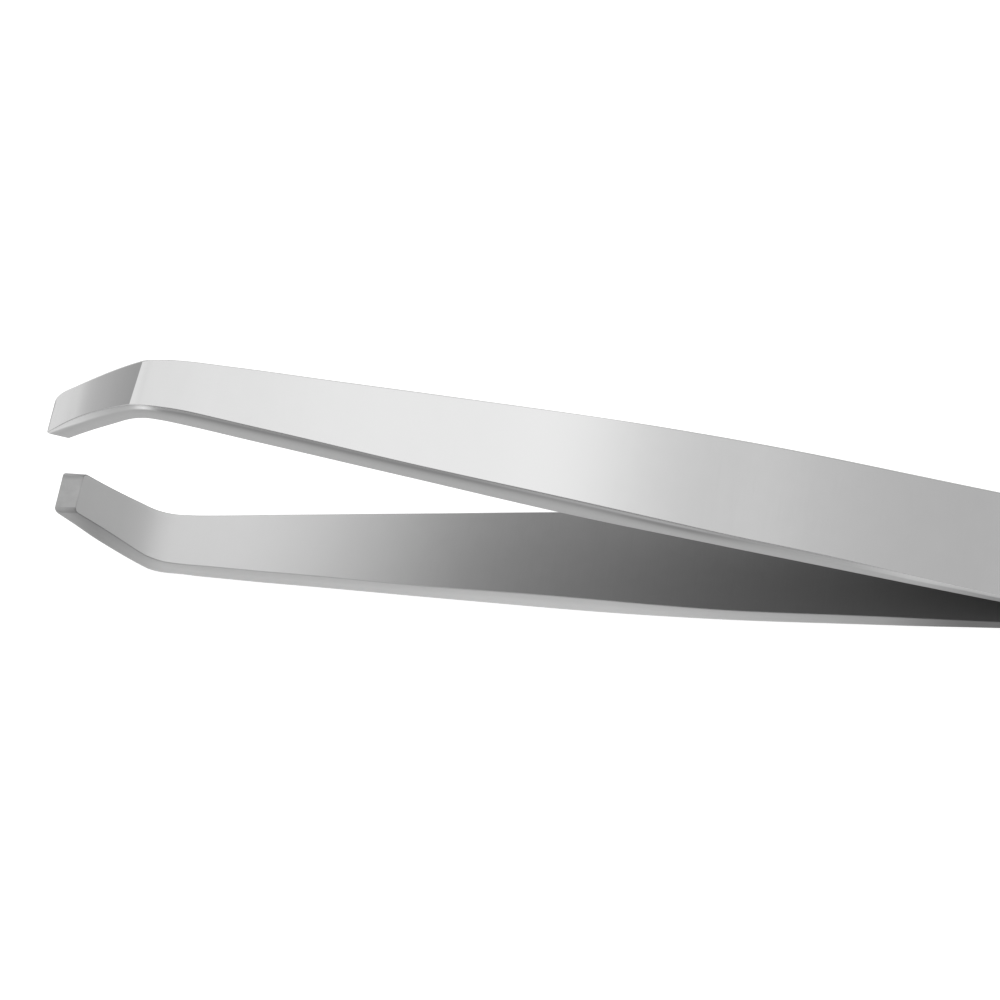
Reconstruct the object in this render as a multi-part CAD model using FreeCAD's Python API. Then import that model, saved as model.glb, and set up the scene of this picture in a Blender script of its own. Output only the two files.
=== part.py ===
import FreeCAD, Part
import os, math
from FreeCAD import Vector

# Angled tweezers: two ground steel arms, spot-welded face to face at the rear.
# Both arms have the same form, one the mirror image of the other about the
# mating plane. Units are millimetres.
#
# Working frame of the tables: x runs from the tip end to the rear, z is the
# height above the mating plane, y is across the width. The finished part lies
# as it would on a bench, on the outer face of its lower arm: it touches just
# behind the bend and at the rear end.

# ---------------------------------------------------------------- dimensions
overall_length = 100.0        # tip end to rear end, along the mating plane
weld_front_x = 85.95          # where the two inner faces part
weld_thickness = 0.70         # thickness of one arm at the welded rear end
rear_half_width = 5.11        # half width over the weld, where the sides are parallel
rear_corner_radius = 2.6      # rounded corners of the rear end, in plan
rear_bend_radius = 5.0        # outer bend where the arms leave the weld
rear_slope = 0.137            # slope of the outer face in front of that bend

tip_outer_z = 4.975           # outer corner of the gripping face, at x = 0
tip_inner_x = 1.80           # inner corner of the gripping face
tip_inner_z = 4.70
tip_corner_radius = 0.30      # plan corners of the tip end
tip_trim = 0.05               # the wedge edge of the tip is blunted by this
tip_face_bow = 0.453          # the tip's outer face is ground slightly convex

crease_x = 7.42               # crisp bend of the outer face
crease_z = 10.461
bevel_x = 7.78                # narrow bevel just behind the crease
bevel_z = 10.555

outer_edge_radius = 0.26      # rounding of the long outer edges
inner_edge_break = 0.07       # the inner edges are only broken

# outer face behind the bevel: x, z
outer_face = [
    (7.78, 10.555), (8.4, 10.632), (9.2, 10.702), (10, 10.733), (11, 10.727),
    (12.2, 10.649), (13.7, 10.485), (16, 10.222), (20.86, 9.643), (27.97, 8.777),
    (34, 8.090), (39, 7.543), (43, 7.081), (46.5, 6.646), (50, 6.177),
    (55, 5.466), (60, 4.761), (65, 3.966), (71, 2.935), (79.71, 1.568),
]
# inner face: a smooth bend, then the nearly straight arm
inner_face = [
    (6.1, 7.888), (6.75, 8.388), (7.42, 8.814), (8.1, 9.082), (8.85, 9.232),
    (9.6, 9.241), (10.45, 9.196), (11.3, 9.107), (12.25, 8.998), (14.2, 8.772),
    (16.5, 8.499), (20.5, 8.011), (24.5, 7.542), (30, 6.918), (36.66, 6.045),
    (43, 5.278), (49, 4.684), (55, 4.050), (60.8, 3.294), (66, 2.587),
    (71.1, 1.919), (79.8, 0.800), (85.95, 0.000),
]
# half width in plan: x, y
half_width = [
    (0, 1.956), (2.77, 2.016), (5.14, 2.173), (7.42, 2.392), (12.25, 2.645),
    (16, 2.884), (20.86, 3.161), (27.97, 3.611), (34, 3.944), (39, 4.195),
    (43, 4.394), (46.5, 4.555), (50, 4.692), (55, 4.853), (60, 4.914),
    (65, 4.955), (71, 5.029), (79.71, 5.105),
]


class Spline:
    """Cubic spline y(x) through points, with given end slopes."""

    def __init__(self, pts, s0, s1):
        self.x = [p[0] for p in pts]
        self.y = [p[1] for p in pts]
        n = len(pts)
        a, b, c, d = [0.0] * n, [1.0] * n, [0.0] * n, [0.0] * n
        d[0], d[-1] = s0, s1
        for i in range(1, n - 1):
            h0, h1 = self.x[i] - self.x[i - 1], self.x[i + 1] - self.x[i]
            a[i], b[i], c[i] = h1, 2 * (h0 + h1), h0
            d[i] = 3 * (h0 * (self.y[i + 1] - self.y[i]) / h1 + h1 * (self.y[i] - self.y[i - 1]) / h0)
        for i in range(1, n):
            m = a[i] / b[i - 1]
            b[i] -= m * c[i - 1]
            d[i] -= m * d[i - 1]
        self.s = [0.0] * n
        self.s[-1] = d[-1] / b[-1]
        for i in range(n - 2, -1, -1):
            self.s[i] = (d[i] - c[i] * self.s[i + 1]) / b[i]

    def __call__(self, x):
        i = 0
        while i < len(self.x) - 2 and x > self.x[i + 1]:
            i += 1
        h = self.x[i + 1] - self.x[i]
        t = (x - self.x[i]) / h
        return ((2 * t ** 3 - 3 * t ** 2 + 1) * self.y[i] + (t ** 3 - 2 * t ** 2 + t) * h * self.s[i]
                + (3 * t ** 2 - 2 * t ** 3) * self.y[i + 1] + (t ** 3 - t ** 2) * h * self.s[i + 1])


# the rear bend: an arc tangent to the flat outer face of the weld zone
bend_angle = math.atan(rear_slope)
bend_end_x = weld_front_x + 0.45 + rear_bend_radius * math.tan(bend_angle / 2)
bend_start_x = bend_end_x - rear_bend_radius * math.sin(bend_angle)
bend_start_z = weld_thickness + rear_bend_radius * (1 - math.cos(bend_angle))

tip_slope = (inner_face[0][1] - tip_inner_z) / (inner_face[0][0] - tip_inner_x)
outer_spline = Spline(outer_face + [(bend_start_x, bend_start_z)], 0.14, -rear_slope)
inner_spline = Spline(inner_face, tip_slope, -0.130)
width_spline = Spline(half_width + [(bend_end_x, rear_half_width)], 0.051, 0.0)


def outer_z(x):
    if x < crease_x:
        # shallow arc from the tip end to the crease, as a parabola
        s = x / crease_x
        return tip_outer_z + (crease_z - tip_outer_z) * s + 4 * tip_face_bow * s * (1 - s)
    if x < bevel_x:
        return crease_z + (bevel_z - crease_z) * (x - crease_x) / (bevel_x - crease_x)
    if x < bend_start_x:
        return outer_spline(x)
    if x < bend_end_x:
        return weld_thickness + rear_bend_radius - math.sqrt(rear_bend_radius ** 2 - (bend_end_x - x) ** 2)
    return weld_thickness


def inner_z(x):
    if x < inner_face[0][0]:
        return tip_inner_z + (x - tip_inner_x) * tip_slope
    if x < weld_front_x:
        return inner_spline(x)
    return 0.0


def half_w(x):
    return width_spline(x) if x < bend_end_x else rear_half_width


def section(x):
    """Cross-section of the upper arm at x: rounded outer corners, broken inner ones."""
    w, lo, hi = half_w(x), inner_z(x), outer_z(x)
    r, c = outer_edge_radius, inner_edge_break
    k = r * (1 - math.sqrt(0.5))

    def v(y, z):
        return Vector(x, y, z)
    return Part.Wire([
        Part.LineSegment(v(-w + c, lo), v(w - c, lo)).toShape(),
        Part.LineSegment(v(w - c, lo), v(w, lo + c)).toShape(),
        Part.LineSegment(v(w, lo + c), v(w, hi - r)).toShape(),
        Part.Arc(v(w, hi - r), v(w - k, hi - k), v(w - r, hi)).toShape(),
        Part.LineSegment(v(w - r, hi), v(-w + r, hi)).toShape(),
        Part.Arc(v(-w + r, hi), v(-w + k, hi - k), v(-w, hi - r)).toShape(),
        Part.LineSegment(v(-w, hi - r), v(-w, lo + c)).toShape(),
        Part.LineSegment(v(-w, lo + c), v(-w + c, lo)).toShape(),
    ])


def stations(a, b, step):
    n = max(1, int(math.ceil((b - a) / step)))
    return [a + (b - a) * i / n for i in range(n + 1)]


def loft(xs, ruled=False):
    s = Part.makeLoft([section(x) for x in xs], True, ruled)
    print("  loft %.2f to %.2f: valid %s, volume %.3f" % (xs[0], xs[-1], s.isValid(), s.Volume))
    return s


def rear_block():
    """The welded rear end: a plain strip with rounded corners and edges."""
    r, xe, y, x0 = rear_corner_radius, overall_length, rear_half_width, bend_end_x
    k = r * math.sqrt(0.5)
    xa, ya = xe - r, y - r
    outline = [
        Part.LineSegment(Vector(x0, -y, 0), Vector(xa, -y, 0)),
        Part.Arc(Vector(xa, -y, 0), Vector(xa + k, -ya - k, 0), Vector(xe, -ya, 0)),
        Part.LineSegment(Vector(xe, -ya, 0), Vector(xe, ya, 0)),
        Part.Arc(Vector(xe, ya, 0), Vector(xa + k, ya + k, 0), Vector(xa, y, 0)),
        Part.LineSegment(Vector(xa, y, 0), Vector(x0, y, 0)),
        Part.LineSegment(Vector(x0, y, 0), Vector(x0, -y, 0)),
    ]
    s = Part.Face(Part.Wire([e.toShape() for e in outline])).extrude(Vector(0, 0, weld_thickness))

    def rim(shape, z):
        return [e for e in shape.Edges if all(abs(v.Point.z - z) < 1e-6 for v in e.Vertexes)
                and max(v.Point.x for v in e.Vertexes) > x0 + 0.01]
    s = s.makeFillet(outer_edge_radius, rim(s, weld_thickness))
    s = s.makeChamfer(inner_edge_break, rim(s, 0.0))
    print("  rear block: valid %s, volume %.3f" % (s.isValid(), s.Volume))
    return s.Solids[0]


def tip_cutter():
    """What lies outside the blunted and rounded tip end, in plan."""
    r, xt, y = tip_corner_radius, tip_trim, half_w(tip_trim + tip_corner_radius) + 0.002
    k = r * math.sqrt(0.5)
    xa, ya = xt + r, y - r
    outline = [
        Part.LineSegment(Vector(xa, 6, -1), Vector(xa, y, -1)),
        Part.Arc(Vector(xa, y, -1), Vector(xa - k, ya + k, -1), Vector(xt, ya, -1)),
        Part.LineSegment(Vector(xt, ya, -1), Vector(xt, -ya, -1)),
        Part.Arc(Vector(xt, -ya, -1), Vector(xa - k, -ya - k, -1), Vector(xa, -y, -1)),
        Part.LineSegment(Vector(xa, -y, -1), Vector(xa, -6, -1)),
        Part.LineSegment(Vector(xa, -6, -1), Vector(-4, -6, -1)),
        Part.LineSegment(Vector(-4, -6, -1), Vector(-4, 6, -1)),
        Part.LineSegment(Vector(-4, 6, -1), Vector(xa, 6, -1)),
    ]
    return Part.Face(Part.Wire([e.toShape() for e in outline])).extrude(Vector(0, 0, 12))


def grip_cutter():
    """The half space beyond the gripping face, as a slab in front of the tip."""
    dx, dz = tip_inner_x, tip_inner_z - tip_outer_z
    n = math.hypot(dx, dz)
    ux, uz = dx / n, dz / n
    p = [Vector(-8 * ux, 0, tip_outer_z - 8 * uz), Vector(14 * ux, 0, tip_outer_z + 14 * uz),
         Vector(14 * ux, 0, tip_outer_z + 14 * uz - 8), Vector(-8 * ux, 0, tip_outer_z - 8 * uz - 8)]
    f = Part.Face(Part.makePolygon(p + [p[0]]))
    s = f.extrude(Vector(0, 12, 0))
    s.translate(Vector(0, -6, 0))
    return s


def build_arm():
    tip = loft([-1.6, 0.0] + stations(0.0, crease_x, 1.3)[1:])
    tip = tip.cut(grip_cutter()).cut(tip_cutter())
    print("  tip cut: valid %s, volume %.3f, solids %d" % (tip.isValid(), tip.Volume, len(tip.Solids)))
    bevel = loft([crease_x, bevel_x], True)
    # stations spread out gradually, so that the lofted faces don't ripple
    arm_x, step = [bevel_x], 0.55
    while arm_x[-1] < weld_front_x - 22.0:
        arm_x.append(arm_x[-1] + step)
        step = min(step * 1.14, 3.0)
    arm_x += stations(arm_x[-1], weld_front_x, 2.4)[1:]
    body = loft(arm_x)
    bend = loft(stations(weld_front_x, bend_end_x, 0.14))
    rear = rear_block()
    arm = tip.fuse([bevel, body, bend, rear])
    print("arm: %s, solids %d, valid %s, volume %.2f" % (arm.ShapeType, len(arm.Solids), arm.isValid(), arm.Volume))
    arm = arm.removeSplitter()
    print("after splitter: solids %d, valid %s, faces %d" % (len(arm.Solids), arm.isValid(), len(arm.Faces)))
    return arm.Solids[0]


def rest_angle():
    """Tilt in radians at which the front of the lower arm and the rear end both touch down."""
    xs = [crease_x + 0.02 * i for i in range(2600)]
    r = outer_edge_radius

    def gap(a):
        front = min(-x * math.sin(a) - outer_z(x) * math.cos(a) for x in xs)
        rear = -(overall_length - r) * math.sin(a) - (weld_thickness - r) * math.cos(a) - r
        return front - rear
    lo, hi = math.radians(5.0), math.radians(8.0)
    for i in range(40):
        mid = (lo + hi) / 2
        if gap(mid) < 0:
            lo = mid
        else:
            hi = mid
    return (lo + hi) / 2


def main():
    upper = build_arm()
    lower = upper.mirror(Vector(0, 0, 0), Vector(0, 0, 1))
    a = rest_angle()
    arms = [("upper_arm", upper), ("lower_arm", lower)]
    for name, s in arms:
        s.rotate(Vector(0, 0, 0), Vector(0, 1, 0), math.degrees(a))
    box = Part.makeCompound([s for n, s in arms]).optimalBoundingBox(False, False)
    shift = Vector(-(box.XMin + box.XMax) / 2, 0, -box.ZMin)
    print("rest tilt %.5f deg, box %.4f x %.4f x %.4f, shift %.4f %.4f" % (
        math.degrees(a), box.XLength, box.YLength, box.ZLength, shift.x, shift.z))
    os.makedirs("parts", exist_ok=True)
    for name, s in arms:
        s.translate(shift)
        s.exportStep("parts/%s.step" % name)
        c = s.CenterOfMass
        print(name, "valid", s.isValid(), "volume %.2f mm3" % s.Volume, "centre %.3f %.3f %.3f" % (c.x, c.y, c.z))
    return a, shift.x, shift.z


tilt, shift_x, shift_z = main()
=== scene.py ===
import math

import bpy
from mathutils import Matrix, Vector


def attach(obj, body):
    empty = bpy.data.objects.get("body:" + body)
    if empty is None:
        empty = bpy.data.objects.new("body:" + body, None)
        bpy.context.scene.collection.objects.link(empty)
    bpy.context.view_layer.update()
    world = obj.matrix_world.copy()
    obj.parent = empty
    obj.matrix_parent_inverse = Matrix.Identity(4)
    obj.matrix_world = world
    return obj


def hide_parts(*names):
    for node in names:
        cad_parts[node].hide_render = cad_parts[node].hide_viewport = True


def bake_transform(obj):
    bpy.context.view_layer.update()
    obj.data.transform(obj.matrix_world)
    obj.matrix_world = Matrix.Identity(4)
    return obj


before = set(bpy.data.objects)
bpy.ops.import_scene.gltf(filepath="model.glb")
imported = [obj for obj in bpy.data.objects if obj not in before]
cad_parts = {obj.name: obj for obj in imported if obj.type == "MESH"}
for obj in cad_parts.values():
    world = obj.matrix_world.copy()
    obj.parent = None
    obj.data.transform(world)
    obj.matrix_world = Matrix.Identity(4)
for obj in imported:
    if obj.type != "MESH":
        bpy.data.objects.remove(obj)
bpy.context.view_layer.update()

# ---------------------------------------------------------------- dimensions
# Millimetres in the mid-plane frame of the arms: x from the tip end to the
# rear, z the height above the mating plane, y across the width.
overall_length = 100.0
weld_front_x = 85.95
weld_thickness = 0.70
rear_half_width = 5.11
rear_corner_radius = 2.6
rear_bend_radius = 5.0
rear_slope = 0.137
tip_outer_z = 4.975
tip_inner_x = 1.80
tip_inner_z = 4.70
tip_face_bow = 0.453
crease_x = 7.42
crease_z = 10.461
bevel_x = 7.78
bevel_z = 10.555
outer_round = 0.20            # the long outer edge is rounded over this width of the face
outer_depth = 0.70            # and this depth of the flank
rear_round = 0.03             # it gets finer towards the weld
far_round = 0.30
tip_round = 0.12
tip_depth = 0.30
inner_break = 0.07

outer_face = [
    (7.78, 10.555), (8.4, 10.632), (9.2, 10.702), (10, 10.733), (11, 10.727),
    (12.2, 10.649), (13.7, 10.485), (16, 10.222), (20.86, 9.643), (27.97, 8.777),
    (34, 8.090), (39, 7.543), (43, 7.081), (46.5, 6.646), (50, 6.177),
    (55, 5.466), (60, 4.761), (65, 3.966), (71, 2.935), (79.71, 1.568),
]
inner_face = [
    (6.1, 7.888), (6.75, 8.388), (7.42, 8.814), (8.1, 9.082), (8.85, 9.232),
    (9.6, 9.241), (10.45, 9.196), (11.3, 9.107), (12.25, 8.998), (14.2, 8.772),
    (16.5, 8.499), (20.5, 8.011), (24.5, 7.542), (30, 6.918), (36.66, 6.045),
    (43, 5.278), (49, 4.684), (55, 4.050), (60.8, 3.294), (66, 2.587),
    (71.1, 1.919), (79.8, 0.800), (85.95, 0.000),
]
half_width = [
    (0, 1.956), (2.77, 2.016), (5.14, 2.173), (7.42, 2.392), (12.25, 2.645),
    (16, 2.884), (20.86, 3.161), (27.97, 3.611), (34, 3.944), (39, 4.195),
    (43, 4.394), (46.5, 4.555), (50, 4.692), (55, 4.853), (60, 4.914),
    (65, 4.955), (71, 5.029), (79.71, 5.105),
]

# the rest on the bench: a turn about Y and a shift
tilt = math.radians(6.48799)
shift_x, shift_z = -49.4465, 11.9673


def placed(x, y, z):
    """A point of the mid-plane frame in the row frame, in metres."""
    return Vector((
        (x * math.cos(tilt) + z * math.sin(tilt) + shift_x) / 1000,
        y / 1000,
        (-x * math.sin(tilt) + z * math.cos(tilt) + shift_z) / 1000,
    ))


class Spline:
    """Cubic spline y(x) through points, with given end slopes."""

    def __init__(self, pts, s0, s1):
        self.x = [p[0] for p in pts]
        self.y = [p[1] for p in pts]
        n = len(pts)
        a, b, c, d = [0.0] * n, [1.0] * n, [0.0] * n, [0.0] * n
        d[0], d[-1] = s0, s1
        for i in range(1, n - 1):
            h0, h1 = self.x[i] - self.x[i - 1], self.x[i + 1] - self.x[i]
            a[i], b[i], c[i] = h1, 2 * (h0 + h1), h0
            d[i] = 3 * (h0 * (self.y[i + 1] - self.y[i]) / h1 + h1 * (self.y[i] - self.y[i - 1]) / h0)
        for i in range(1, n):
            m = a[i] / b[i - 1]
            b[i] -= m * c[i - 1]
            d[i] -= m * d[i - 1]
        self.s = [0.0] * n
        self.s[-1] = d[-1] / b[-1]
        for i in range(n - 2, -1, -1):
            self.s[i] = (d[i] - c[i] * self.s[i + 1]) / b[i]

    def __call__(self, x):
        i = 0
        while i < len(self.x) - 2 and x > self.x[i + 1]:
            i += 1
        h = self.x[i + 1] - self.x[i]
        t = (x - self.x[i]) / h
        return ((2 * t ** 3 - 3 * t ** 2 + 1) * self.y[i] + (t ** 3 - 2 * t ** 2 + t) * h * self.s[i]
                + (3 * t ** 2 - 2 * t ** 3) * self.y[i + 1] + (t ** 3 - t ** 2) * h * self.s[i + 1])


bend_angle = math.atan(rear_slope)
bend_end_x = weld_front_x + 0.45 + rear_bend_radius * math.tan(bend_angle / 2)
bend_start_x = bend_end_x - rear_bend_radius * math.sin(bend_angle)
bend_start_z = weld_thickness + rear_bend_radius * (1 - math.cos(bend_angle))
tip_slope = (inner_face[0][1] - tip_inner_z) / (inner_face[0][0] - tip_inner_x)
outer_spline = Spline(outer_face + [(bend_start_x, bend_start_z)], 0.14, -rear_slope)
inner_spline = Spline(inner_face, tip_slope, -0.130)
width_spline = Spline(half_width + [(bend_end_x, rear_half_width)], 0.051, 0.0)


def outer_z(x):
    if x < crease_x:
        s = x / crease_x
        return tip_outer_z + (crease_z - tip_outer_z) * s + 4 * tip_face_bow * s * (1 - s)
    if x < bevel_x:
        return crease_z + (bevel_z - crease_z) * (x - crease_x) / (bevel_x - crease_x)
    if x < bend_start_x:
        return outer_spline(x)
    if x < bend_end_x:
        return weld_thickness + rear_bend_radius - math.sqrt(rear_bend_radius ** 2 - (bend_end_x - x) ** 2)
    return weld_thickness


def inner_z(x):
    if x < inner_face[0][0]:
        return tip_inner_z + (x - tip_inner_x) * tip_slope
    if x < weld_front_x:
        return inner_spline(x)
    return 0.0


def half_w(x):
    return width_spline(max(x, 0.0)) if x < bend_end_x else rear_half_width


# ---------------------------------------------------------------- the arm mesh
# The arm is swept in its own coordinates: u along it (equal to x behind the
# crease), v across, t through its thickness from the inner to the outer face.
# In front of the crease the sections fan out, so that the first one is the
# gripping face.
def crease_skew(u):
    """The crease and its bevel aren't quite square to the arm: shift in x, and shift in x per mm across."""
    pts = [(0.0, 0.0, 0.0), (crease_x, 0.13, 0.045), (bevel_x, 0.13, 0.045), (12.0, 0.0, 0.0), (200.0, 0.0, 0.0)]
    for (a, p, k), (b, q, m) in zip(pts, pts[1:]):
        if u <= b:
            t = (u - a) / (b - a)
            return p + (q - p) * t, k + (m - k) * t
    return 0.0, 0.0


def section_ends(u):
    """Outer and inner profile points of the section at u."""
    if u >= crease_x:
        return (u, outer_z(u)), (u, inner_z(u))
    xi = tip_inner_x + (crease_x - tip_inner_x) * u / crease_x
    return (u, outer_z(u)), (xi, inner_z(xi))


def smooth(a, b, x):
    t = min(1.0, max(0.0, (x - a) / (b - a)))
    return t * t * (3 - 2 * t)


def arm_stations(corner_near_u):
    """u of the sections behind the tip corner, denser where the arm bends."""
    keys = [
        (corner_near_u, 7.36, 0.14), (7.36, 7.40, 0.02), (7.40, 7.44, 0.01), (7.44, 7.76, 0.04),
        (7.76, 7.80, 0.01), (7.80, 14.0, 0.10), (14.0, 85.0, 0.32), (85.0, weld_front_x - 0.02, 0.10),
        (weld_front_x - 0.02, weld_front_x + 0.02, 0.02), (weld_front_x + 0.02, bend_end_x + 0.05, 0.06),
        (bend_end_x + 0.05, overall_length - rear_corner_radius, 0.5),
    ]
    out = []
    for a, b, step in keys:
        n = max(1, int(math.ceil((b - a) / step - 1e-9)))
        out += [a + (b - a) * i / n for i in range(n)]
    return out + [overall_length - rear_corner_radius]


def arm_mesh(name, side, corners, skewed, tip_x, tip_y, tip_far, swell):
    """side +1 is the upper arm, -1 the lower; corners are the plan corners of the tip: (along, across) radii, for -Y then +Y.

    tip_x and tip_y are how far the hand-ground tip end lies off the drawn one, tip_far how much
    further its far outer corner does, and swell how much fuller the outer face is before the bend.
    """
    across, arc_steps = 10, 10
    # the outline of each side, from the tip to the rear: (kind, u, centre u, corner radii, angle)
    ends = []
    for s in (-1, 1):
        ru, rv = corners[0 if s < 0 else 1]
        col = [("tip", ru, rv, math.pi / 2 * (1 - i / arc_steps)) for i in range(arc_steps)]
        ends.append((s, ru, rv, col))
    u0 = max(ends[0][1], ends[1][1])
    stations = arm_stations(u0)
    rear = [math.pi / 2 * (i + 1) / 16 for i in range(16)]
    rr, xa = rear_corner_radius, overall_length - rear_corner_radius

    def side_point(s, ru, rv, i, d):
        """(u, v) of outline station i on side s, moved inwards by d."""
        if i < arc_steps:
            a = math.pi / 2 * (1 - i / arc_steps)
            # the arc of a smaller corner ends sooner, so the rest of its stations run on to u0
            if ru >= u0 - 1e-9:
                cu = ru
            else:
                cu = ru
                # share the stations between the arc and the short straight piece behind it
                k = max(2, int(round(arc_steps * 0.6)))
                if i <= k:
                    a = math.pi / 2 * (1 - i / k)
                else:
                    u = cu + (u0 - cu) * (i - k) / (arc_steps - k)
                    return u, s * (half_w(u) - d)
            u = cu - max(ru - d, 0.0) * math.sin(a)
            w = half_w(u) - rv + max(rv - d, 0.0) * math.cos(a)
            return u, s * w
        i -= arc_steps
        if i < len(stations):
            u = stations[i]
            return u, s * (half_w(u) - d)
        a = rear[i - len(stations)]
        return xa + (rr - d) * math.sin(a), s * (rear_half_width - rr + (rr - d) * math.cos(a))

    rows = arc_steps + len(stations) + len(rear)
    (s0, ru0, rv0, c0), (s1, ru1, rv1, c1) = ends

    def edge_round(u, th, s):
        """Half axes of the outer edge across and through the arm: finer at the tip and on the far side."""
        if s > 0:
            far = tip_round + (far_round - tip_round) * smooth(0.3, 2.2, u)
            return far, min(far, 0.4 * th)
        grown = smooth(0.3, 2.0, u)
        a = tip_round + (outer_round - tip_round) * grown - (outer_round - rear_round) * smooth(60.0, 72.0, u)
        b = tip_depth + (outer_depth - tip_depth) * grown
        return a, min(b, 0.45 * th)

    # levels of the edge profile: inset from the outline and height in the thickness
    def levels(u, th, s=-1):
        (r, q), c = edge_round(u, th, s), inner_break
        out = [("in", c + 0.05, 0.0), ("in", c + 0.012, 0.0)]
        for k in range(4):
            a = math.pi / 2 * k / 3
            out.append(("ir", c * (1 - math.sin(a)), c * (1 - math.cos(a))))
        out.append(("sd", 0.0, c + 0.02))
        out.append(("sd", 0.0, c + 0.5 * (th - c - q)))
        out.append(("sd", 0.0, th - q - 0.02))
        for k in range(13):
            a = math.pi / 2 * k / 12
            out.append(("or" if k > 9 else "sr", r * (1 - math.cos(a)), th - q * (1 - math.sin(a))))
        out.append(("ot", r + 0.012, th))
        out.append(("ot", r + 0.05, th))
        return out

    nl = len(levels(1.0, 1.5))
    verts, deep, index = [], [], {}

    def put(u, v, kind):
        o, i = section_ends(u)
        th = math.hypot(o[0] - i[0], o[1] - i[1])
        f = kind / th
        x, z = i[0] + (o[0] - i[0]) * f, i[1] + (o[1] - i[1]) * f
        # the width follows x, not u, where the sections fan out
        vv = v * half_w(x) / half_w(u)
        free = max(0.0, 1 - u / crease_x)
        shift, skew = crease_skew(u)
        z += swell * f * smooth(0.5, 3.5, u) * (1 - smooth(8.0, 10.6, u))
        far = tip_far * f * free ** 2 * max(0.0, vv / half_w(x))
        verts.append((x + skewed * (shift + skew * vv * f) + tip_x * free ** 2, vv + tip_y * free ** 1.5 + far, z))
        deep.append(((1 - f) * th, f * th))
        return len(verts) - 1

    def thickness(u):
        o, i = section_ends(u)
        return math.hypot(o[0] - i[0], o[1] - i[1])

    # outline positions: near column, rear row, far column back, tip row
    def at(row, col, lev):
        """Vertex at grid row and column (0..across) on profile level lev; only rim positions."""
        key = (row, col, lev)
        if key in index:
            return index[key]
        s = -1 if col == 0 else 1
        ru, rv = (ru0, rv0) if s < 0 else (ru1, rv1)
        if col in (0, across):
            ub, vb = side_point(s, ru, rv, row, 0.0)
            lv = levels(ub, thickness(ub), s)[lev]
            u, v = side_point(s, ru, rv, row, lv[1])
            h = lv[2] * thickness(u) / thickness(ub)
        else:
            un, vn = side_point(-1, ru0, rv0, row, 0.0)
            uf, vf = side_point(1, ru1, rv1, row, 0.0)
            m = col / across
            ln, lf = levels(un, thickness(un), -1)[lev], levels(uf, thickness(uf), 1)[lev]
            un, vn = side_point(-1, ru0, rv0, row, ln[1])
            uf, vf = side_point(1, ru1, rv1, row, lf[1])
            u, v = un + (uf - un) * m, vn + (vf - vn) * m
            h = (ln[2] + (lf[2] - ln[2]) * m) * thickness(u) / thickness(max(un, 0.0))
        index[key] = put(u, v, h)
        return index[key]

    faces, mats = [], []
    names = [k for k, a, b in levels(1.0, 1.5)]
    ring = [(r, 0) for r in range(rows)] + [(rows - 1, c) for c in range(1, across)] + \
           [(r, across) for r in range(rows - 1, -1, -1)] + [(0, c) for c in range(across - 1, 0, -1)]
    n = len(ring)
    for lev in range(nl - 1):
        for k in range(n):
            a, b = ring[k], ring[(k + 1) % n]
            q = [at(*a, lev), at(*b, lev), at(*b, lev + 1), at(*a, lev + 1)]
            tip = a[0] == 0 and b[0] == 0 or (a[0] < arc_steps and b[0] < arc_steps and False)
            kinds = {names[lev], names[lev + 1]}
            if kinds <= {"in"}:
                m = 2
            elif "ir" in kinds and kinds <= {"in", "ir"}:
                m = 3 if tip else 1
            elif kinds <= {"ot"}:
                m = 0
            elif "or" in kinds:
                # the far edge catches the light as the outer face does
                m = 0 if a[1] == across and b[1] == across else 4
            else:
                m = 3 if tip else 1
            faces.append(q)
            mats.append(m)
    # the flat faces
    top, low = nl - 1, 0
    inner_pts, outer_pts = {}, {}
    for r in range(rows):
        for c in range(across + 1):
            rim = c in (0, across) or r in (0, rows - 1)
            for store, lev in ((inner_pts, low), (outer_pts, top)):
                if rim:
                    store[r, c] = at(r, c, lev)
                else:
                    ub, _ = side_point(-1, ru0, rv0, r, 0.0)
                    un, vn = side_point(-1, ru0, rv0, r, levels(ub, thickness(ub), -1)[lev][1])
                    uf, vf = side_point(1, ru1, rv1, r, levels(ub, thickness(ub), 1)[lev][1])
                    m = c / across
                    u, v = un + (uf - un) * m, vn + (vf - vn) * m
                    store[r, c] = put(u, v, 0.0 if lev == low else thickness(u))
    for r in range(rows - 1):
        for c in range(across):
            faces.append([inner_pts[r, c], inner_pts[r, c + 1], inner_pts[r + 1, c + 1], inner_pts[r + 1, c]])
            mats.append(2)
            faces.append([outer_pts[r, c], outer_pts[r + 1, c], outer_pts[r + 1, c + 1], outer_pts[r, c + 1]])
            mats.append(0)
    pts = [placed(x, y, z * side) for x, y, z in verts]
    me = bpy.data.meshes.new(name)
    me.from_pydata(pts, [], faces)
    me.validate()
    me.update()
    at_mm = me.attributes.new("arm_mm", "FLOAT_VECTOR", "POINT")
    for i, (x, y, z) in enumerate(verts):
        at_mm.data[i].vector = (x, y, z)
    for k, label in enumerate(("arm_depth", "arm_height")):
        at_deep = me.attributes.new(label, "FLOAT", "POINT")
        for i, d in enumerate(deep):
            at_deep.data[i].value = d[k]
    for p, m in zip(me.polygons, mats):
        p.material_index = m
        p.use_smooth = True
    ob = bpy.data.objects.new(name, me)
    bpy.context.scene.collection.objects.link(ob)
    # outward normals
    import bmesh
    bm = bmesh.new()
    bm.from_mesh(me)
    bmesh.ops.recalc_face_normals(bm, faces=bm.faces)
    bm.to_mesh(me)
    bm.free()
    return ob


# ---------------------------------------------------------------- materials
def new_material(name):
    m = bpy.data.materials.new(name)
    m.use_nodes = True
    nt = m.node_tree
    return m, nt, nt.nodes["Principled BSDF"]


def node(nt, kind, **props):
    n = nt.nodes.new(kind)
    for k, v in props.items():
        setattr(n, k, v)
    return n


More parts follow.
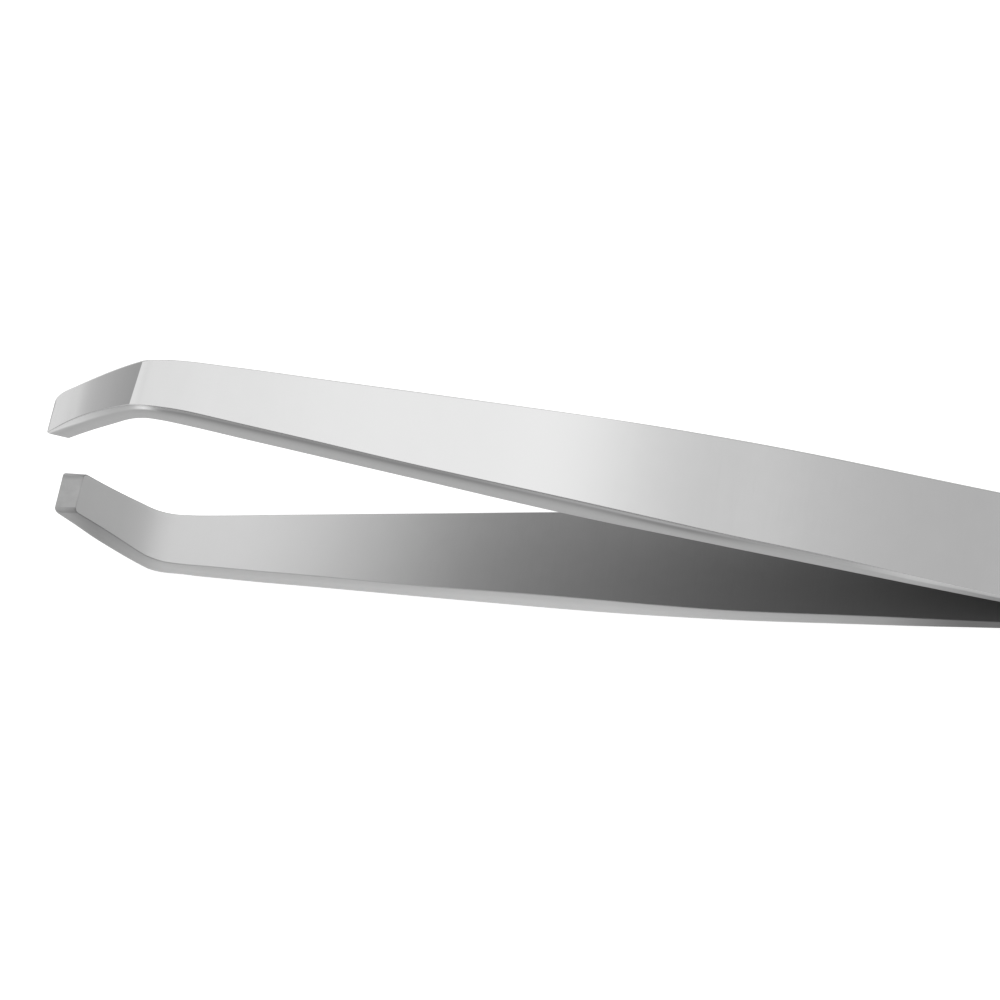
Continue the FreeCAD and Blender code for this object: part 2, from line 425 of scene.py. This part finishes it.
def math_node(nt, op, a, b=None, c=None):
    n = node(nt, "ShaderNodeMath", operation=op)
    for i, v in enumerate((a, b, c)):
        if v is None:
            continue
        if isinstance(v, (int, float)):
            n.inputs[i].default_value = v
        else:
            nt.links.new(v, n.inputs[i])
    return n.outputs[0]


def scaled_noise(nt, scale, detail=2.0, rough=0.5):
    """Noise in the arm's own millimetres, stretched by scale (x, y, z)."""
    at = node(nt, "ShaderNodeAttribute", attribute_name="arm_mm")
    mp = node(nt, "ShaderNodeMapping")
    mp.inputs["Scale"].default_value = scale
    nt.links.new(at.outputs["Vector"], mp.inputs["Vector"])
    n = node(nt, "ShaderNodeTexNoise")
    n.inputs["Scale"].default_value = 1.0
    n.inputs["Detail"].default_value = detail
    n.inputs["Roughness"].default_value = rough
    nt.links.new(mp.outputs["Vector"], n.inputs["Vector"])
    return n.outputs["Fac"]


def ranged(nt, v, lo, hi, a, b):
    n = node(nt, "ShaderNodeMapRange")
    nt.links.new(v, n.inputs["Value"])
    for k, x in zip(("From Min", "From Max", "To Min", "To Max"), (lo, hi, a, b)):
        n.inputs[k].default_value = x
    return n.outputs["Result"]


def grey(nt, v):
    n = node(nt, "ShaderNodeCombineColor")
    for i in range(3):
        nt.links.new(v, n.inputs[i])
    return n.outputs[0]


def along(nt, stops, axis=0, lo=0.0, hi=100.0):
    """A value that changes along the arm (or across it for axis 1, below the outer face for 2, above the inner one for 3): stops are (mm, value)."""
    if axis > 1:
        at = node(nt, "ShaderNodeAttribute", attribute_name="arm_depth" if axis == 2 else "arm_height")
        v = at.outputs["Fac"]
    else:
        at = node(nt, "ShaderNodeAttribute", attribute_name="arm_mm")
        sep = node(nt, "ShaderNodeSeparateXYZ")
        nt.links.new(at.outputs["Vector"], sep.inputs[0])
        v = sep.outputs[axis]
    r = node(nt, "ShaderNodeValToRGB")
    r.color_ramp.interpolation = "B_SPLINE"
    el = r.color_ramp.elements
    while len(el) > 1:
        el.remove(el[-1])
    for i, (p, c) in enumerate(stops):
        p = (p - lo) / (hi - lo)
        e = el[0] if i == 0 else el.new(p)
        e.position = p
        e.color = (c, c, c, 1)
    nt.links.new(ranged(nt, v, lo, hi, 0.0, 1.0), r.inputs[0])
    return r.outputs[0]


def painted_edge_shade_and_highlight(nt, band):
    """A painted dark line of shade below the outer edge, and a painted highlight strip that replaces it at the tip and
    the rear.

    band is (the painted shade's strength along the arm, its shift in mm, the painted highlight's strength along the
    arm, its shift in mm): stops are (mm, value).
    """
    dark, shift, pale, pale_shift = band
    at = node(nt, "ShaderNodeAttribute", attribute_name="arm_depth").outputs["Fac"]
    moved = math_node(nt, "SUBTRACT", at, along(nt, shift))

    def over(v, stops):
        r = node(nt, "ShaderNodeValToRGB")
        el = r.color_ramp.elements
        while len(el) > 1:
            el.remove(el[-1])
        for i, (p, c) in enumerate(stops):
            e = el[0] if i == 0 else el.new(p / 2)
            e.position = p / 2
            e.color = (c, c, c, 1)
        nt.links.new(math_node(nt, "MULTIPLY", v, 0.5), r.inputs[0])
        return r.outputs[0]

    # low is the painted dark line of shade down the flank, high the painted highlight strip along the outer edge
    low = over(moved, [(0, 0.0), (0.05, 0.12), (0.12, 0.32), (0.2, 0.45), (0.3, 0.43), (0.4, 0.34), (0.5, 0.24), (0.6, 0.16), (0.75, 0.09), (0.9, 0.04), (1.1, 0)])
    high = over(math_node(nt, "ADD", at, along(nt, pale_shift)), [(0, 1), (0.48, 1), (0.62, 0)])
    return math_node(nt, "ADD", math_node(nt, "SUBTRACT", 1.0, math_node(nt, "MULTIPLY", low, along(nt, dark))),
                     math_node(nt, "MULTIPLY", high, along(nt, pale)))


def steel(name, base, rough, rough_vary, lines, line_depth, blotch, blotch_depth, tone=0.03, stops=None, cross=None, depth=None, height=None, band=None):
    """Ground steel: lines is the noise scale per millimetre along, across and through the arm. stops, cross, depth,
    height and band multiply the colour by painted light and shade.
    """
    m, nt, bsdf = new_material(name)
    fine = scaled_noise(nt, lines, 3.0, 0.6)
    cloud = scaled_noise(nt, (blotch, blotch, blotch), 3.0, 0.55)
    mix = math_node(nt, "ADD", math_node(nt, "MULTIPLY", fine, 0.5), math_node(nt, "MULTIPLY", cloud, 0.5))
    nt.links.new(ranged(nt, mix, 0.3, 0.7, rough - rough_vary, rough + rough_vary), bsdf.inputs["Roughness"])
    v = ranged(nt, mix, 0.3, 0.7, base * (1 - tone), base * (1 + tone))
    # the tone tables below paint light and shade into the colour
    if stops:
        v = math_node(nt, "MULTIPLY", v, along(nt, stops))
    if cross:
        v = math_node(nt, "MULTIPLY", v, along(nt, cross, 1, -6.0, 6.0))
    if depth:
        v = math_node(nt, "MULTIPLY", v, along(nt, depth, 2, 0.0, 2.0))
    if height:
        v = math_node(nt, "MULTIPLY", v, along(nt, height, 3, 0.0, 2.0))
    if band:
        v = math_node(nt, "MULTIPLY", v, painted_edge_shade_and_highlight(nt, band))
    nt.links.new(grey(nt, v), bsdf.inputs["Base Color"])
    bsdf.inputs["Metallic"].default_value = 1.0
    b1 = node(nt, "ShaderNodeBump")
    b1.inputs["Strength"].default_value = 1.0
    b1.inputs["Distance"].default_value = line_depth
    nt.links.new(fine, b1.inputs["Height"])
    b2 = node(nt, "ShaderNodeBump")
    b2.inputs["Strength"].default_value = 1.0
    b2.inputs["Distance"].default_value = blotch_depth
    nt.links.new(cloud, b2.inputs["Height"])
    nt.links.new(b1.outputs["Normal"], b2.inputs["Normal"])
    nt.links.new(b2.outputs["Normal"], bsdf.inputs["Normal"])
    return m


BASE = 0.50
# Painted light and shade on the outer face: the tone along the arm dips on the tip facet at 2 to 4.5 mm, has a dark
# line just behind the crease bevel at 8 mm, a painted highlight from 34 to 43 mm, and is darker behind 72 mm.
outer_steel = steel("steel_outer", BASE, 0.10, 0.015, (6.0, 0.25, 0.25), 2e-7, 0.6, 2e-7, 0.012,
                    [(0, .99), (1.4, .98), (1.9, .935), (2.3, .90), (2.9, .892), (3.3, .885), (3.8, .893), (4.65, .935), (5.5, .96), (7.4, .98), (7.8, 1.01), (8.05, .86), (8.3, 1.0),
                     (30, 1.0), (34, 1.05), (39, 1.07), (43, 1.02), (46, 1.0), (70, 1.0), (74, .96), (100, .96)])
# Painted light and shade on the upper flank: its tone is a little lighter at the tip and darker behind 70 mm towards
# the rear. The band paints a dark line of shade below the outer edge from 8 to 69 mm, and a highlight strip there at
# the tip, at the crease and behind 68 mm.
side_steel = steel("steel_side", 0.345, 0.42, 0.03, (0.5, 3.0, 6.0), 8e-7, 1.3, 4e-7, 0.03,
                   [(0, 1.05), (7, 1.07), (10, 1.0), (69, 1.0), (72, 0.9), (76, 0.6), (100, 0.55)],
                   band=([(0, .15), (7.4, .15), (8.9, .3), (9.5, .6), (10.2, .9), (11.5, 1), (17, 1.05), (21, 1), (25, .92), (29, .97), (33, .97), (37, .85),
                          (41, .7), (45, .75), (49, 1.05), (53, 1), (57, .45), (61, .32), (65, .15), (69, 0), (100, 0)],
                         [(0, .45), (7.9, .45), (9.2, 0), (33, 0), (37, .08), (45, .14), (49.5, .2), (53, .12), (57, 0), (100, 0)],
                         [(0, .62), (1.3, .62), (2.7, .54), (4.0, .32), (5.8, .04), (7.3, .04), (7.9, .3), (8.4, 1.05), (8.9, .85), (9.4, .2), (10, 0),
                          (64, 0), (68, .3), (73.5, .42), (76, .85), (82, .5), (100, .5)],
                         [(0, .45), (1.3, .27), (2.7, .05), (3.5, 0), (7.4, 0), (8.2, .2), (9.4, .2), (10, 0), (69, 0), (73, .25), (100, .25)]))
# Painted light and shade on the lower flank, which is the same steel given a lighter base than the upper flank. Its
# tone is darker at the tip end, lightest around 38 mm, and falls to about a quarter behind 74 mm. Across the flank it
# is lighter towards the bottom edge and in a thin line at the top edge.
low_side_steel = steel("steel_side_lower", 0.48, 0.42, 0.03, (0.5, 3.0, 6.0), 8e-7, 1.3, 4e-7, 0.03,
                       [(0, 0.62), (1.2, 0.58), (2.5, 0.47), (4, 0.48), (7, 0.71), (9, 0.93), (30, 0.93), (38, 1.05), (44, 1.03), (52, 0.92), (60, 0.78),
                        (67, 0.66), (71, 0.38), (74, 0.27), (100, 0.27)], None, [(0, 1.15), (.48, 1.08), (1.1, .95), (1.6, .86), (2, .86)], [(0, 1.3), (.08, 1.28), (.22, 1.0), (2, 1.0)])
# Painted light and shade on the inner faces: the tone along the arm is darker at the tip end and lightest from 8 to 16
# mm. It then falls off to about a quarter towards the weld, as painted shade where the arms close over each other.
inner_steel = steel("steel_inner", 1.0, 0.80, 0.03, (7.0, 0.2, 0.2), 1.0e-6, 0.7, 4e-7, 0.02,
                    [(0, .52), (5, .545), (6.5, .60), (7.5, .69), (8.5, .73), (10, .73), (13, .735), (16, .73), (20.5, .675), (24.4, .605), (28.3, .525), (32.3, .427),
                     (36, .375), (40, .338), (44, .312), (48, .283), (52, .253), (56, .228), (60, .212), (67, .185), (72, .17), (100, .165)])
# Painted shade on the gripping face: across its width it is darker towards both ends, where it rounds over into the
# flanks, more so on the near side.
grip_steel = steel("steel_grip", 0.44, 0.70, 0.05, (0.7, 0.9, 0.9), 2e-6, 0.55, 6e-6, 0.16, None,
                   [(-6, 0.62), (-2.0, 0.62), (-1.75, 0.72), (-1.5, 0.9), (-1.2, 1.0), (1.4, 1.0), (1.65, 0.88), (1.95, 0.72), (6, 0.72)])
# Painted light on the near outer edge: its tone along the arm is lifted to between 1.2 and 2.2 times, most at the tip
# end and behind 37 mm.
edge_steel = steel("steel_edge", 0.45, 0.22, 0.02, (1.5, 1.5, 1.5), 4e-7, 0.8, 4e-7, 0.02,
                   [(0, 1.9), (2.7, 1.9), (4, 1.6), (5.8, 1.2), (7.3, 1.2), (9.3, 1.4), (21, 1.5), (33, 1.7), (37, 2.1), (45, 2.2), (100, 2.2)])

# ---------------------------------------------------------------- the arms
upper = arm_mesh("upper_arm_steel", 1, ((0.16, 0.16), (0.95, 0.50)), 1.0, 0.24, 0.20, 0.0, 0.0)
lower = arm_mesh("lower_arm_steel", -1, ((0.40, 0.40), (0.42, 0.42)), 0.0, -0.08, 0.20, 0.24, 0.29)
for ob, flank in ((upper, side_steel), (lower, low_side_steel)):
    for m in (outer_steel, flank, inner_steel, grip_steel, edge_steel):
        ob.data.materials.append(m)
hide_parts("upper_arm")
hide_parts("lower_arm")
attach(lower, "lower_arm")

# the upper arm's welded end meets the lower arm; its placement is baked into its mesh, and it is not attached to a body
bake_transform(upper)

# ---------------------------------------------------------------- stage
def floor():
    me = bpy.data.meshes.new("floor")
    n, radius = 96, 40.0
    z = -0.00004
    vs = [(0, 0, z)] + [(radius * math.cos(2 * math.pi * i / n), radius * math.sin(2 * math.pi * i / n), z) for i in range(n)]
    me.from_pydata(vs, [], [(0, 1 + i, 1 + (i + 1) % n) for i in range(n)])
    ob = bpy.data.objects.new("floor", me)
    bpy.context.scene.collection.objects.link(ob)
    m, nt, bsdf = new_material("floor")
    bsdf.inputs["Base Color"].default_value = (0.45, 0.45, 0.45, 1)
    bsdf.inputs["Emission Color"].default_value = (1, 1, 1, 1)
    bsdf.inputs["Emission Strength"].default_value = 0.80
    bsdf.inputs["Roughness"].default_value = 0.9
    bsdf.inputs["Specular IOR Level"].default_value = 0.1
    me.materials.append(m)


floor()

# Soft studio surroundings, by direction: the light comes mainly from behind
# and above on the tip side, and falls off towards the front and the rear end.
world = bpy.data.worlds.new("studio")
bpy.context.scene.world = world
world.use_nodes = True
wn = world.node_tree
for x in list(wn.nodes):
    wn.nodes.remove(x)
tc = node(wn, "ShaderNodeTexCoord")
sx = node(wn, "ShaderNodeSeparateXYZ")
wn.links.new(tc.outputs["Generated"], sx.inputs[0])
X, Y, Z = sx.outputs
phi = math_node(wn, "ARCTAN2", X, Z)          # 0 overhead, positive towards the rear end
pos = ranged(wn, phi, -math.pi, math.pi, 0.0, 1.0)


def ramp(v, stops):
    r = node(wn, "ShaderNodeValToRGB")
    el = r.color_ramp.elements
    while len(el) > 1:
        el.remove(el[-1])
    for i, (p, c) in enumerate(stops):
        e = el[0] if i == 0 else el.new(p)
        e.position = p
        e.color = (c, c, c, 1)
    wn.links.new(v, r.inputs[0])
    return r.outputs[0]


def lin(v):
    v = v / 255
    return v / 12.92 if v < 0.04045 else ((v + 0.055) / 1.055) ** 2.4


SPAN = 3.0
back = [(-92, 210), (-89.2, 206), (-86.5, 199), (-83.7, 190), (-80.7, 181), (-77.6, 175), (-71.2, 165), (-60, 152),
        (-52, 165), (-44, 215), (-36, 223), (-20, 221), (4, 223.5), (8.3, 225), (9.9, 227), (10.9, 229.5), (11.4, 233), (11.9, 237),
        (13.1, 238), (14.0, 234), (15.0, 226), (16.0, 216), (17.1, 207), (19.2, 198), (20.0, 192), (22.7, 186), (25.0, 181.5),
        (26.1, 175), (30, 167), (60, 168), (80, 178), (96, 212)]
stops = [((p + 180) / 360, min(1.0, lin(c) / BASE / SPAN)) for p, c in back]
back_light = math_node(wn, "MULTIPLY", ramp(pos, stops), SPAN)
# the near side is darker, with a bright patch to the left and another towards the rear end
front = [(-1, 1.3), (-0.62, 1.3), (-0.58, 1.5), (-0.32, 1.5), (-0.22, 0.46), (0, 0.44), (0.2, 0.44),
         (0.255, 0.46), (0.27, 0.5), (0.285, 0.62), (0.30, 0.85), (0.32, 1.1), (0.34, 1.2), (0.4, 1.2), (0.6, 0.8), (1, 0.9)]
front_x = ramp(ranged(wn, X, -1.0, 1.0, 0.0, 1.0), [((p + 1) / 2, c / SPAN) for p, c in front])
low = node(wn, "ShaderNodeMapRange", interpolation_type="SMOOTHSTEP")
wn.links.new(Z, low.inputs["Value"])
for k, x in zip(("From Min", "From Max", "To Min", "To Max"), (0.10, 0.75, 1.0, 0.0)):
    low.inputs[k].default_value = x
front_light = math_node(wn, "ADD", math_node(wn, "MULTIPLY", math_node(wn, "MULTIPLY", front_x, SPAN),
                                             math_node(wn, "SUBTRACT", 1.0, low.outputs["Result"])),
                        math_node(wn, "MULTIPLY", low.outputs["Result"], ranged(wn, X, 0.25, 0.33, 0.72, 1.15)))
side_mix = node(wn, "ShaderNodeMapRange", interpolation_type="SMOOTHSTEP")
rearward = math_node(wn, "MAXIMUM", math_node(wn, "SUBTRACT", X, 0.14), 0.0)
wn.links.new(math_node(wn, "ADD", Y, math_node(wn, "MULTIPLY", rearward, 3.0)), side_mix.inputs["Value"])
side_mix.inputs["From Min"].default_value = 0.02
side_mix.inputs["From Max"].default_value = 0.40
mixed = math_node(wn, "ADD", math_node(wn, "MULTIPLY", back_light, side_mix.outputs["Result"]),
                  math_node(wn, "MULTIPLY", front_light, math_node(wn, "SUBTRACT", 1.0, side_mix.outputs["Result"])))
# towards the horizon it goes over into the pale floor
hor = node(wn, "ShaderNodeMapRange", interpolation_type="SMOOTHSTEP")
wn.links.new(Z, hor.inputs["Value"])
hor.inputs["From Min"].default_value = 0.0
hor.inputs["From Max"].default_value = 0.07
final = math_node(wn, "ADD", math_node(wn, "MULTIPLY", mixed, hor.outputs["Result"]),
                  math_node(wn, "MULTIPLY", math_node(wn, "MAXIMUM", ranged(wn, X, -0.9, -0.2, 1.27, 0.97), ranged(wn, Y, 0.4, 0.9, 0.97, 1.8)), math_node(wn, "SUBTRACT", 1.0, hor.outputs["Result"])))
bg = node(wn, "ShaderNodeBackground")
out = node(wn, "ShaderNodeOutputWorld")
wn.links.new(grey(wn, final), bg.inputs["Color"])
bg.inputs["Strength"].default_value = 1.0
wn.links.new(bg.outputs[0], out.inputs[0])

# ---------------------------------------------------------------- camera
# Fitted to the edges of the arms in the photograph, in the mid-plane frame.
yaw, pitch, roll = 0.15658, 0.90914, -0.01394
unit = 0.079
reference = Vector((39.895, 0, 0))
offset = Vector(((547.60 - 500) * unit, (510.02 - 500) * unit, 4500 * unit))
r_yaw = Matrix(((math.cos(yaw), math.sin(yaw), 0), (-math.sin(yaw), math.cos(yaw), 0), (0, 0, 1)))
r_axes = Matrix(((1, 0, 0), (0, 0, -1), (0, 1, 0)))
r_pitch = Matrix(((1, 0, 0), (0, math.cos(pitch), -math.sin(pitch)), (0, math.sin(pitch), math.cos(pitch))))
r_roll = Matrix(((math.cos(roll), -math.sin(roll), 0), (math.sin(roll), math.cos(roll), 0), (0, 0, 1)))
rot = r_roll @ r_pitch @ r_axes @ r_yaw
eye = reference - rot.transposed() @ offset
r_rest = Matrix(((math.cos(tilt), 0, math.sin(tilt)), (0, 1, 0), (-math.sin(tilt), 0, math.cos(tilt))))
turned = rot @ r_rest.transposed()
right, up, away = turned[0].copy(), -turned[1].copy(), -turned[2].copy()
at = placed(*eye)
cam_data = bpy.data.cameras.new("camera")
cam_data.sensor_width = 36.0
cam_data.lens = 162.0
cam_data.clip_start, cam_data.clip_end = 0.01, 20.0
cam = bpy.data.objects.new("camera", cam_data)
bpy.context.scene.collection.objects.link(cam)
cam.matrix_world = Matrix((
    (right.x, up.x, away.x, at.x), (right.y, up.y, away.y, at.y), (right.z, up.z, away.z, at.z), (0, 0, 0, 1)))
bpy.context.scene.camera = cam
bpy.context.scene.view_settings.view_transform = "Standard"
bpy.context.scene.view_settings.look = "None"
